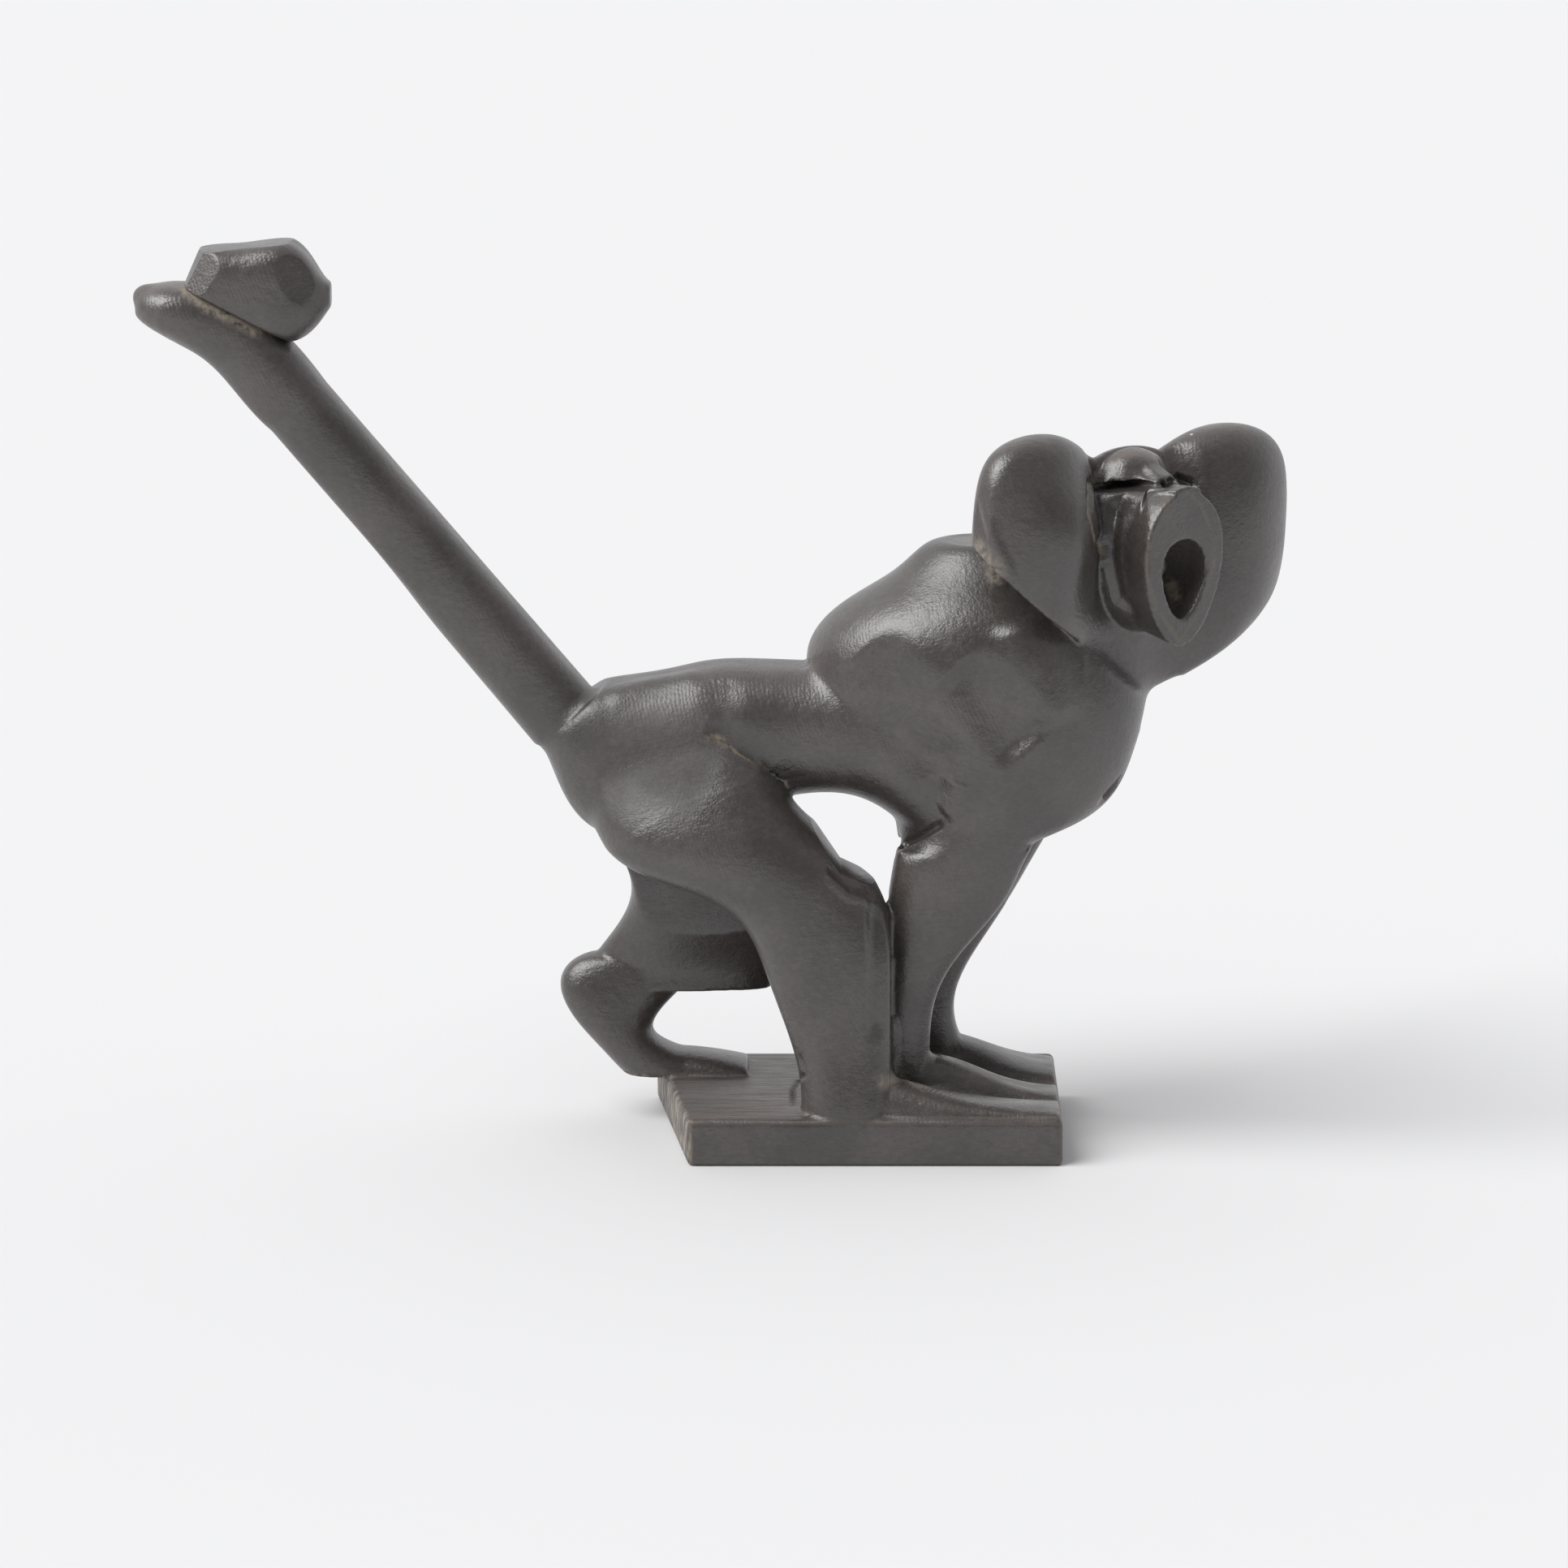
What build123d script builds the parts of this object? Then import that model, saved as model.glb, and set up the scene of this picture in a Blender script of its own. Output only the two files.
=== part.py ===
from build123d import *
import os
from math import cos, pi, sin

os.makedirs("parts", exist_ok=True)

# A carved wooden monkey, running on a small plinth with its tail raised and its mouth open.
# It is put together from carved blanks with planed, glued joints and hidden dowels.
# Millimetres. +X is the way the monkey runs, +Y is its left, +Z is up.
# The origin is the middle of the plinth's underside.
# Heights of the figure are measured from the top of the plinth.

# Plinth
PLINTH_LENGTH = 64.0
PLINTH_DEPTH = 48.0
PLINTH_HEIGHT = 8.0
PLINTH_END_SKEW = 6.0
PLINTH_EDGE = 0.6

# Planed joints and dowels
GLUE_LINE = 0.1
DOWEL_CLEARANCE = 0.1
DOWEL_END_ROOM = 0.5
NECK_DOWEL_DIAMETER = 4.0
NECK_DOWEL_DEPTH = 5.0
TAIL_DOWEL_DIAMETER = 5.0
TAIL_DOWEL_DEPTH = 9.0
LIMB_DOWEL_DIAMETER = 4.0
SHOULDER_DOWEL_DEPTH = 8.0
HIP_DOWEL_DEPTH = 4.5
SMALL_DOWEL_DIAMETER = 3.0
FOOT_DOWEL_DEPTH = 4.5
RUFF_DOWEL_DEPTH = 6.0
MUZZLE_DOWEL_DEPTH = 3.0
TUFT_DOWEL_DEPTH = 3.5
# Places of the dowels on their joints
NECK_DOWEL_SHIFT = -15.0
HIP_DOWEL_PLACE = (-33.0, 55.0)
SHOULDER_DOWEL_PLACES = {"right_fore_leg": (14.0, -8.0), "left_fore_leg": (16.0, 8.0)}
FOOT_DOWEL_PLACES = {
    "right_hind_leg": (-5.0, -16.0),
    "right_fore_leg": (6.5, -8.0),
    "left_fore_leg": (10.0, 8.5),
}
RUFF_DOWEL_PLACE = (-3.5, 4.0)
MUZZLE_DOWEL_Z = 0.5

# Where the limbs leave the torso
HIP_FACE = 5.0
SHOULDER_FACE = 44.5
# Where the right shin meets the right fore leg
SHIN_FACE = 2.5

# Head: place of its middle, turn towards the right side, tilt, and the joints in it
HEAD_X = 44.5
HEAD_Y = -1.5
HEAD_RISE = 8.0
HEAD_TURN = 50.0
HEAD_TILT = 3.4
FACE_HALF_WIDTH = 11.4
NECK_X = 30.0
NECK_HEIGHT = 86.0
NECK_SLOPE = 43.4
# Rise of the neck above the shoulder joint that the slices of the cape are drawn for
CAPE_RISE = 41.5

# Muzzle and mouth
MUZZLE_JOINT = 0.0
MUZZLE_FRONT = 12.5
MUZZLE_HALF_WIDTH = 8.7
MUZZLE_TOP = 13.6
MUZZLE_BOTTOM = -13.8
MOUTH_HALF_WIDTH = 4.9
MOUTH_TOP = 4.6
MOUTH_BOTTOM = -9.2
MOUTH_DEPTH = 8.0
# How much the muzzle and the mouth narrow towards the chin, as a share of their width
MUZZLE_POINT = 0.16
MOUTH_POINT = 0.28
# The muzzle behind the lips: half width, lowest and highest z at its root, then x and the same further on
MUZZLE_ROOT = (8.2, -11.5, 11.6)
MUZZLE_SIDE = [(4.0, 8.3, -12.2, 12.3), (8.5, 8.5, -13.0, 13.0)]
# How the mouth narrows: share of the way from its floor to the lips, share of its full width
MOUTH_TAPER = [(0.0, 0.5), (0.4, 0.8), (1.1, 1.02)]

# Brow, eyes and nose
# The slot of the left eye seen from the front, points (y, z), and how far forward its floor lies
EYE_SLOT = [(2.6, 15.0), (7.0, 14.2), (11.8, 11.2), (7.0, 10.8), (2.6, 11.8)]
EYE_FLOOR = 1.0
EYE_REACH = 10.0
# The nose between the eyes: x at each end, half width and lowest z of both, highest z at each end
NOSE_ENDS = (2.0, 12.3)
NOSE_HALF_WIDTH = 3.2
NOSE_LOW = 9.0
NOSE_HIGH = (13.6, 13.9)

# Shape of the rounded outlines: 2 is an ellipse, more is squarer
ROUND = 2.0
FULL = 2.5
BLOCKY = 3.2
OUTLINE_POINTS = 16

# Slices of the carved blanks: upper point (x, height), lower point (x, height), nearest and furthest y
RUMP = [
    ((-40.0, 72.8), (-51.0, 48.8), -10.5, 10.5),
    ((-29.0, 74.9), (-33.0, 47.0), -12.0, 12.0),
    ((-20.6, 75.3), (-20.6, 51.0), -11.5, 11.5),
    ((-12.0, 75.0), (-12.0, 52.8), -11.5, 11.5),
    ((-3.0, 75.0), (-3.0, 52.4), -13.0, 13.0),
    ((5.0, 75.0), (5.0, 47.5), -14.5, 14.5),
    ((12.0, 74.0), (12.0, 46.0), -14.0, 14.0),
]
CAPE = [
    ((24.0, 96.3), (12.7, 96.3), -5.0, 5.0),
    ((32.0, 92.0), (4.5, 92.0), -11.0, 11.0),
    ((40.0, 86.0), (-4.5, 86.0), -16.0, 16.0),
    ((46.0, 78.0), (-11.3, 78.0), -19.0, 19.0),
    ((47.0, 70.0), (-9.4, 70.0), -19.5, 19.5),
    ((44.8, 61.0), (-1.0, 61.0), -18.5, 18.5),
    ((41.8, 53.6), (3.0, 53.6), -16.8, 16.8),
    ((34.2, 47.5), (3.8, 47.5), -15.6, 15.6),
    ((27.0, 41.5), (4.0, 41.5), -15.0, 15.0),
]
TAIL_ROOT = ((-48.3, 70.0), (-58.4, 61.2), -6.7, 6.7)
TAIL_BEND = ((-93.8, 123.6), (-103.2, 115.9), -6.5, 6.5)
TAIL_END = [
    ((-102.0, 133.2), (-110.4, 123.8), -6.8, 6.8),
    ((-111.9, 139.6), (-116.6, 129.6), -7.4, 7.4),
    ((-119.7, 141.0), (-122.6, 133.0), -6.8, 6.8),
    ((-124.8, 139.8), (-126.0, 135.6), -3.6, 3.6),
]
TUFT = [
    ((-114.8, 146.9), (-118.5, 138.5), -6.0, 6.0),
    ((-109.6, 147.5), (-112.6, 135.5), -7.2, 7.2),
    ((-104.4, 148.1), (-106.4, 133.0), -7.6, 7.6),
    ((-99.4, 148.2), (-100.4, 131.2), -7.4, 7.4),
    ((-95.6, 144.5), (-95.6, 133.4), -5.4, 5.4),
    ((-92.8, 141.0), (-92.8, 137.0), -2.6, 2.6),
]
TUFT_SEAT = ((-116.9, 140.7), (-100.1, 131.7))
RIGHT_THIGH = [
    ((-28.5, 65.0), (-49.5, 55.5), -11.0, 4.0),
    ((-16.6, 57.0), (-46.8, 45.5), -19.0, 4.0),
    ((-8.8, 47.6), (-34.0, 38.5), -21.5, 2.0),
    ((0.0, 38.8), (-23.5, 33.0), -22.0, -2.0),
    ((3.2, 28.5), (-19.3, 26.0), -22.5, -7.0),
    ((3.2, 18.0), (-16.4, 18.0), -22.5, -8.0),
    ((3.2, 8.0), (-13.2, 8.0), -23.0, -8.0),
    ((3.2, -3.0), (-13.4, -3.0), -23.4, -8.0),
]
RIGHT_FOOT = [
    ((-8.0, 4.5), (-8.0, -4.5), -21.0, -11.0),
    ((2.0, 6.0), (2.0, -6.0), -22.4, -12.8),
    ((12.0, 3.6), (12.0, -3.6), -23.4, -13.0),
    ((22.0, 2.0), (22.0, -2.0), -23.6, -13.0),
    ((31.5, 1.2), (31.5, -1.2), -23.6, -12.8),
]
LEFT_THIGH = [
    ((-30.0, 60.0), (-47.0, 55.0), -4.0, 10.0),
    ((-16.0, 50.0), (-47.0, 44.5), -4.0, 16.0),
    ((-14.0, 40.0), (-42.6, 37.0), -2.0, 18.0),
    ((-13.5, 30.0), (-43.0, 29.0), 3.0, 18.5),
    ((-15.0, 22.0), (-47.5, 22.0), 7.0, 18.0),
    ((-18.0, 15.2), (-51.0, 15.2), 7.5, 17.0),
]
LEFT_FOOT = [
    ((-49.0, 21.0), (-32.0, 16.5), 8.0, 16.6),
    ((-54.6, 15.3), (-36.2, 12.4), 7.0, 17.2),
    ((-53.0, 10.9), (-38.4, 9.4), 6.6, 17.4),
    ((-49.4, 6.4), (-38.4, 6.8), 6.4, 17.4),
    ((-45.4, 2.0), (-35.4, 4.6), 6.2, 17.6),
    ((-39.0, -2.4), (-31.0, 3.4), 6.2, 17.8),
]
LEFT_TOES = [
    ((-39.0, 4.0), (-39.0, -4.0), 6.8, 17.0),
    ((-31.0, 3.7), (-31.0, -3.7), 6.0, 18.0),
    ((-22.0, 2.0), (-22.0, -2.0), 6.0, 18.4),
]
RIGHT_ARM = [
    ((31.0, 47.5), (4.0, 47.5), -15.2, -1.3),
    ((23.2, 37.0), (2.6, 37.0), -14.5, -2.0),
    ((17.6, 29.5), (1.9, 29.5), -14.0, -2.5),
    ((12.2, 22.3), (1.8, 22.3), -13.5, -3.0),
    ((9.8, 15.0), (1.8, 15.0), -13.0, -3.5),
    ((9.4, 8.0), (1.8, 8.0), -12.4, -4.0),
    ((10.5, -3.0), (1.8, -3.0), -12.2, -4.0),
]
RIGHT_HAND = [
    ((4.0, 7.0), (4.0, -7.0), -11.6, -4.4),
    ((11.0, 7.5), (11.0, -7.5), -12.2, -3.5),
    ((20.0, 4.2), (20.0, -4.2), -12.2, -3.0),
    ((31.5, 1.4), (31.5, -1.4), -12.0, -2.5),
]
LEFT_ARM = [
    ((32.4, 47.5), (6.2, 47.5), 1.3, 15.2),
    ((26.4, 37.0), (5.5, 37.0), 2.0, 14.5),
    ((22.0, 29.5), (5.2, 29.5), 2.5, 14.0),
    ((17.2, 22.0), (5.0, 22.0), 3.0, 13.5),
    ((14.2, 15.0), (5.0, 15.0), 3.5, 13.0),
    ((14.4, 9.0), (5.0, 9.0), 4.0, 13.0),
    ((17.5, -3.0), (5.5, -3.0), 4.0, 13.5),
]
LEFT_HAND = [
    ((8.0, 7.0), (8.0, -7.0), 4.0, 13.0),
    ((16.0, 6.6), (16.0, -6.6), 3.0, 15.0),
    ((24.0, 3.6), (24.0, -3.6), 2.0, 16.5),
    ((31.5, 2.0), (31.5, -2.0), 2.0, 17.0),
]

# Half of the ruff, slices from the chin line outwards: y, lowest and highest z, rearmost and foremost x
RUFF = [
    (0.0, -26.5, 15.0, -9.0, 2.0),
    (8.0, -24.6, 17.0, -9.5, 2.0),
    (15.5, -21.0, 20.6, -10.0, 5.0),
    (23.5, -16.2, 21.6, -9.5, 6.5),
    (30.5, -11.0, 19.4, -7.0, 4.0),
    (34.2, -4.0, 13.0, -3.5, 1.0),
]
# The face between the lobes, slices from the back forwards: x, half width, lowest and highest z
FACE = [
    (-7.0, 9.5, -10.0, 14.5),
    (-2.5, 10.8, -11.5, 17.6),
    (2.0, 11.1, -12.4, 18.4),
    (5.4, 9.6, -12.0, 17.2),
    (7.4, 5.6, -9.0, 13.5),
]


# Directions
UP = Vector(0.0, 0.0, 1.0)
LEFT = Vector(0.0, 1.0, 0.0)
FORWARD = Vector(1.0, 0.0, 0.0)


def power_step(value, squareness):
    """A cosine or sine pushed outwards, so that an ellipse turns into a squarer outline."""
    size = abs(value) ** (2.0 / squareness)
    return size if value >= 0 else -size


def outline(centre, along, across, squareness, point=0.0):
    """A flat closed outline round centre that reaches along and across from it, pointed at its low end."""
    points = []
    for step in range(OUTLINE_POINTS):
        turn = 2.0 * pi * step / OUTLINE_POINTS
        reach_along = along * power_step(cos(turn), squareness)
        reach_across = across * power_step(sin(turn), squareness) * (1.0 + point * cos(turn))
        points.append(centre + reach_along + reach_across)
    return make_face(Spline(points, periodic=True))


def blank(slices, squareness):
    """A carved blank of the figure, lofted through slices."""
    faces = []
    for upper, lower, near, far in slices:
        top = Vector(upper[0], 0.0, upper[1])
        bottom = Vector(lower[0], 0.0, lower[1])
        centre = (top + bottom) * 0.5 + Vector(0.0, (near + far) / 2.0, 0.0)
        faces.append(outline(centre, (top - bottom) * 0.5, LEFT * ((far - near) / 2.0), squareness))
    return loft(faces)


def risen(slices):
    """The slices of the cape, stretched upwards from the shoulder joint as the neck gets higher."""
    growth = (NECK_HEIGHT - SHOULDER_FACE) / CAPE_RISE
    stretched = []
    for upper, lower, near, far in slices:
        height = SHOULDER_FACE + (upper[1] - SHOULDER_FACE) * growth
        stretched.append(((upper[0], height), (lower[0], height), near, far))
    return stretched


def keep_side(solid, origin, normal):
    """The part of a solid on the side of a plane that its normal points to."""
    return split(solid, bisect_by=Plane(origin=origin, z_dir=normal), keep=Keep.TOP)


def rod(point, direction, diameter, length):
    """A round rod of the given length with its middle at point."""
    plane = Plane(origin=point, z_dir=direction)
    return plane * Cylinder(diameter / 2.0, length)


def dowel_pair(point, direction, diameter, length):
    """A dowel and the hole that takes it."""
    hole = rod(point, direction, diameter + DOWEL_CLEARANCE, length + 2.0 * DOWEL_END_ROOM)
    return rod(point, direction, diameter, length), hole


def middle_of(pair):
    """The point halfway between two (x, height) points."""
    return Vector((pair[0][0] + pair[1][0]) / 2.0, 0.0, (pair[0][1] + pair[1][1]) / 2.0)


def square_to(pair):
    """The upright direction at right angles to the line from the second (x, height) point to the first."""
    run = Vector(pair[0][0] - pair[1][0], 0.0, pair[0][1] - pair[1][1])
    return run.cross(LEFT).normalized()


# Planes of the planed joints
half_glue = GLUE_LINE / 2.0
neck_normal = FORWARD.rotate(Axis.Y, NECK_SLOPE - 90.0)
neck_point = Vector(NECK_X, 0.0, NECK_HEIGHT)
tail_axis = square_to(TAIL_ROOT)
tail_point = middle_of(TAIL_ROOT)
seat_normal = square_to(TUFT_SEAT) * -1.0
seat_point = middle_of(TUFT_SEAT)

# Place of the head: its own +X is forwards, +Y the monkey's left, +Z up
head_place = Pos(HEAD_X, HEAD_Y, NECK_HEIGHT + HEAD_RISE) * Rot(0, 0, -HEAD_TURN) * Rot(-HEAD_TILT, 0, 0)


def make_plinth():
    """The block under the feet, with its rear end cut askew and its edges broken."""
    front = PLINTH_LENGTH / 2.0
    side = PLINTH_DEPTH / 2.0
    corners = [(-front, -side), (front, -side), (front, side), (-front - PLINTH_END_SKEW, side)]
    block = extrude(make_face(Polyline(*corners, close=True)), PLINTH_HEIGHT)
    return chamfer(block.edges(), PLINTH_EDGE)


def make_tail():
    """The straight tail with its curled, tongue-shaped end, planed at the root and under the tuft."""
    tail = blank([TAIL_ROOT, TAIL_BEND], FULL) + blank([TAIL_BEND] + TAIL_END, FULL)
    tail = keep_side(tail, tail_point + tail_axis * half_glue, tail_axis)
    return keep_side(tail, seat_point - seat_normal * half_glue, seat_normal * -1.0)


def make_tuft():
    """The tuft on the end of the tail, planed underneath to sit on it."""
    return keep_side(blank(TUFT, BLOCKY), seat_point + seat_normal * half_glue, seat_normal)


def make_torso():
    """Rump, waist and shoulder cape in one blank, planed or let in where the other pieces join."""
    torso = blank([TAIL_ROOT] + RUMP, FULL) + blank(risen(CAPE), ROUND)
    torso = keep_side(torso, tail_point - tail_axis * half_glue, tail_axis * -1.0)
    torso = keep_side(torso, neck_point - neck_normal * half_glue, neck_normal * -1.0)
    return keep_side(torso, UP * (SHOULDER_FACE + half_glue), UP)


def make_right_hind_leg():
    """The right thigh, shin and long foot, planed inside the hip, at the fore leg and underneath."""
    leg = keep_side(blank(RIGHT_THIGH, FULL), FORWARD * (SHIN_FACE - half_glue), FORWARD * -1.0)
    leg = keep_side(leg, LEFT * -(HIP_FACE + half_glue), LEFT * -1.0)
    return keep_side(leg + blank(RIGHT_FOOT, FULL), UP * half_glue, UP)


def make_left_hind_leg():
    """The left thigh with its raised hock, foot and toes, planed inside the hip and underneath."""
    leg = keep_side(blank(LEFT_THIGH, FULL), LEFT * (HIP_FACE + half_glue), LEFT)
    leg = leg + blank(LEFT_FOOT, FULL) + blank(LEFT_TOES, FULL)
    return keep_side(leg, UP * half_glue, UP)


def make_fore_leg(arm, hand):
    """A fore leg and its hand, planed across the top and underneath."""
    leg = keep_side(blank(arm, FULL), FORWARD * (SHIN_FACE + half_glue), FORWARD)
    leg = keep_side(leg + blank(hand, FULL), UP * (SHOULDER_FACE - half_glue), UP * -1.0)
    return keep_side(leg, UP * half_glue, UP)


def ruff_outline(y, low, high, rear, front):
    """One slice of the ruff, square to the line between its two lobes."""
    centre = Vector((rear + front) / 2.0, y, (low + high) / 2.0)
    return outline(centre, UP * ((high - low) / 2.0), FORWARD * ((front - rear) / 2.0), FULL)


def make_ruff():
    """The heart-shaped ruff, both lobes in one."""
    left_side = [ruff_outline(*row) for row in RUFF]
    right_side = [ruff_outline(-row[0], *row[1:]) for row in reversed(RUFF[1:])]
    return loft(right_side + left_side)


def upright_outline(x, half_width, low, high, point=0.0, room=0.0):
    """One upright slice across the face, the muzzle or the mouth."""
    centre = Vector(x, 0.0, (low + high) / 2.0)
    return outline(centre, UP * ((high - low) / 2.0 + room), LEFT * (half_width + room), ROUND, point)


def muzzle_body(room):
    """The outside of the muzzle with its flared lips, or the socket with room around it."""
    root = (MUZZLE_JOINT - room,) + MUZZLE_ROOT
    lips = (MUZZLE_FRONT, MUZZLE_HALF_WIDTH, MUZZLE_BOTTOM, MUZZLE_TOP)
    return loft([upright_outline(*row, MUZZLE_POINT, room) for row in [root] + MUZZLE_SIDE + [lips]])


def make_muzzle():
    """The muzzle with its open mouth."""
    middle = (MOUTH_TOP + MOUTH_BOTTOM) / 2.0
    half_height = (MOUTH_TOP - MOUTH_BOTTOM) / 2.0
    slices = []
    for share, size in MOUTH_TAPER:
        x = MUZZLE_FRONT - MOUTH_DEPTH * (1.0 - share)
        half = half_height * size
        slices.append(upright_outline(x, MOUTH_HALF_WIDTH * size, middle - half, middle + half, MOUTH_POINT))
    return muzzle_body(0.0) - loft(slices)


def make_nose():
    """The roof-shaped ridge of the nose, from the brow to the lips."""
    ends = []
    for x, high in zip(NOSE_ENDS, NOSE_HIGH):
        corners = [(x, -NOSE_HALF_WIDTH, NOSE_LOW), (x, NOSE_HALF_WIDTH, NOSE_LOW), (x, 0.0, high)]
        ends.append(make_face(Polyline(*corners, close=True)))
    return loft(ends, ruled=True)


def make_face_block():
    """Forehead and cheeks between the lobes, with the slots of both eyes under the brow, and the nose."""
    face = loft([upright_outline(*row) for row in FACE])
    for side in (-1.0, 1.0):
        corners = [(EYE_FLOOR, side * y, z) for y, z in EYE_SLOT]
        face = face - extrude(make_face(Polyline(*corners, close=True)), EYE_REACH, dir=FORWARD)
    return face + make_nose()


def make_head_pieces():
    """The head with the middle of the ruff, the two lobes and the muzzle, set on the neck."""
    ruff = make_ruff()
    joint = LEFT * FACE_HALF_WIDTH
    glue = LEFT * half_glue
    middle = keep_side(keep_side(ruff, joint - glue, LEFT * -1.0), glue - joint, LEFT)
    pieces = {
        "head": middle + make_face_block() - muzzle_body(half_glue),
        "right_ruff_lobe": keep_side(ruff, (joint + glue) * -1.0, LEFT * -1.0),
        "left_ruff_lobe": keep_side(ruff, joint + glue, LEFT),
        "muzzle": make_muzzle(),
    }
    placed = {}
    for name, piece in pieces.items():
        placed[name] = keep_side(head_place * piece, neck_point + neck_normal * half_glue, neck_normal)
    return placed


def in_head(x, y, z):
    """A point given in the head's own place."""
    return (head_place * Pos(x, y, z)).position


def head_direction(direction):
    """A direction given in the head's own place."""
    return in_head(direction.X, direction.Y, direction.Z) - in_head(0.0, 0.0, 0.0)


figure = {
    "torso": make_torso(),
    "tail": make_tail(),
    "tail_tuft": make_tuft(),
    "right_hind_leg": make_right_hind_leg(),
    "left_hind_leg": make_left_hind_leg(),
    "right_fore_leg": make_fore_leg(RIGHT_ARM, RIGHT_HAND),
    "left_fore_leg": make_fore_leg(LEFT_ARM, LEFT_HAND),
}
for leg in ("right_hind_leg", "left_hind_leg"):
    figure["torso"] = figure["torso"] - figure[leg]
figure.update(make_head_pieces())
figure["plinth"] = Pos(0.0, 0.0, -PLINTH_HEIGHT) * make_plinth()

# Dowels: name, point on the joint, direction, diameter, length, the pieces it is bored into
dowels = [
    ("neck_dowel", neck_point + neck_normal.cross(LEFT) * NECK_DOWEL_SHIFT, neck_normal,
     NECK_DOWEL_DIAMETER, 2.0 * NECK_DOWEL_DEPTH, ("torso", "head")),
    ("tail_dowel", tail_point, tail_axis, TAIL_DOWEL_DIAMETER, 2.0 * TAIL_DOWEL_DEPTH, ("torso", "tail")),
    ("tuft_dowel", seat_point, seat_normal, SMALL_DOWEL_DIAMETER, 2.0 * TUFT_DOWEL_DEPTH,
     ("tail", "tail_tuft")),
    ("muzzle_dowel", in_head(MUZZLE_JOINT, 0.0, MUZZLE_DOWEL_Z), head_direction(FORWARD),
     SMALL_DOWEL_DIAMETER, 2.0 * MUZZLE_DOWEL_DEPTH, ("head", "muzzle")),
    ("hip_dowel", Vector(HIP_DOWEL_PLACE[0], 0.0, HIP_DOWEL_PLACE[1]), LEFT, LIMB_DOWEL_DIAMETER,
     2.0 * (HIP_FACE + HIP_DOWEL_DEPTH), ("torso", "right_hind_leg", "left_hind_leg")),
]
for side, lobe in ((-1.0, "right_ruff_lobe"), (1.0, "left_ruff_lobe")):
    place = in_head(RUFF_DOWEL_PLACE[0], side * FACE_HALF_WIDTH, RUFF_DOWEL_PLACE[1])
    dowels.append(("ruff_dowels", place, head_direction(LEFT), SMALL_DOWEL_DIAMETER,
                   2.0 * RUFF_DOWEL_DEPTH, ("head", lobe)))
for leg, (x, y) in SHOULDER_DOWEL_PLACES.items():
    dowels.append(("shoulder_dowels", Vector(x, y, SHOULDER_FACE), UP, LIMB_DOWEL_DIAMETER,
                   2.0 * SHOULDER_DOWEL_DEPTH, ("torso", leg)))
for leg, (x, y) in FOOT_DOWEL_PLACES.items():
    dowels.append(("foot_dowels", Vector(x, y, 0.0), UP, SMALL_DOWEL_DIAMETER,
                   2.0 * FOOT_DOWEL_DEPTH, ("plinth", leg)))

pegs = {}
for name, point, direction, diameter, length, bored in dowels:
    peg, hole = dowel_pair(point, direction, diameter, length)
    pegs.setdefault(name, []).append(peg)
    for piece in bored:
        figure[piece] = figure[piece] - hole

lift = Pos(0.0, 0.0, PLINTH_HEIGHT)
for name, piece in figure.items():
    export_step(lift * piece, f"parts/{name}.step")
    print(name, piece.is_valid, round(piece.volume), len(piece.solids()))
for name, group in pegs.items():
    export_step(Compound(children=[lift * peg for peg in group]), f"parts/{name}.step")
    print(name, len(group))
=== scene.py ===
# %% [markdown]
# # A carved monkey on a plinth
# The object is a small hardwood carving: a long-tailed monkey running over a plinth, its head turned to
# the side and its mouth wide open. It was cut with gouges, rasped, stained nearly black and waxed. The
# imported solids carry the true sizes. This lesson wraps a finer skin round copies of them, carves the
# creases that the knife left, and gives the wood its stain, dust and wear, with a painted highlight
# along the rim of the muzzle.

# %% Load the imported solids
from math import copysign, cos, exp, hypot, pi, radians, sin, sqrt

import bmesh
import bpy
from mathutils import Matrix, Vector, kdtree
from mathutils.bvhtree import BVHTree


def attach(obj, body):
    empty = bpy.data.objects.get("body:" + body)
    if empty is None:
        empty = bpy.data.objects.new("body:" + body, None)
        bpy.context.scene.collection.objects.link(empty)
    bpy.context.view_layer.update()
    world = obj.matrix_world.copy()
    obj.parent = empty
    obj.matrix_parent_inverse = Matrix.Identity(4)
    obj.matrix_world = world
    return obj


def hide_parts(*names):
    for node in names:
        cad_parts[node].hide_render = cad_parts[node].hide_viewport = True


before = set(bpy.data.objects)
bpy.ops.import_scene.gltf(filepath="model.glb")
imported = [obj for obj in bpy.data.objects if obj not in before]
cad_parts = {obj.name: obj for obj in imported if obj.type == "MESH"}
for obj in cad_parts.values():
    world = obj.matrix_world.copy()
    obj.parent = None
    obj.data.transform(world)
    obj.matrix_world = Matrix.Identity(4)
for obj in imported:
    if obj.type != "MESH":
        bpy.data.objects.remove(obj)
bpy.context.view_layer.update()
scene = bpy.context.scene
MM = 0.001
print("nodes:", sorted(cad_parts))

# %% [markdown]
# ## Camera
# The carving was seen from its right side, a little from above, through a long lens. A camera could be
# placed by eye, but here it is worked out from the size of one picture point at the carving, so that a
# line drawn on the picture can later be thrown onto the wood from the same spot.

# %% Place the camera
PICTURE = 1932
POINT_SIZE = 0.14 * MM
DISTANCE = 1300 * MM
ELEVATION = radians(12)
AIM = Vector((-15.6, 0.0, 61.8)) * MM
FORWARD = Vector((0.0, cos(ELEVATION), -sin(ELEVATION)))
RIGHT = Vector((1.0, 0.0, 0.0))
UP = Vector((0.0, sin(ELEVATION), cos(ELEVATION)))
EYE = AIM - FORWARD * DISTANCE

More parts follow.
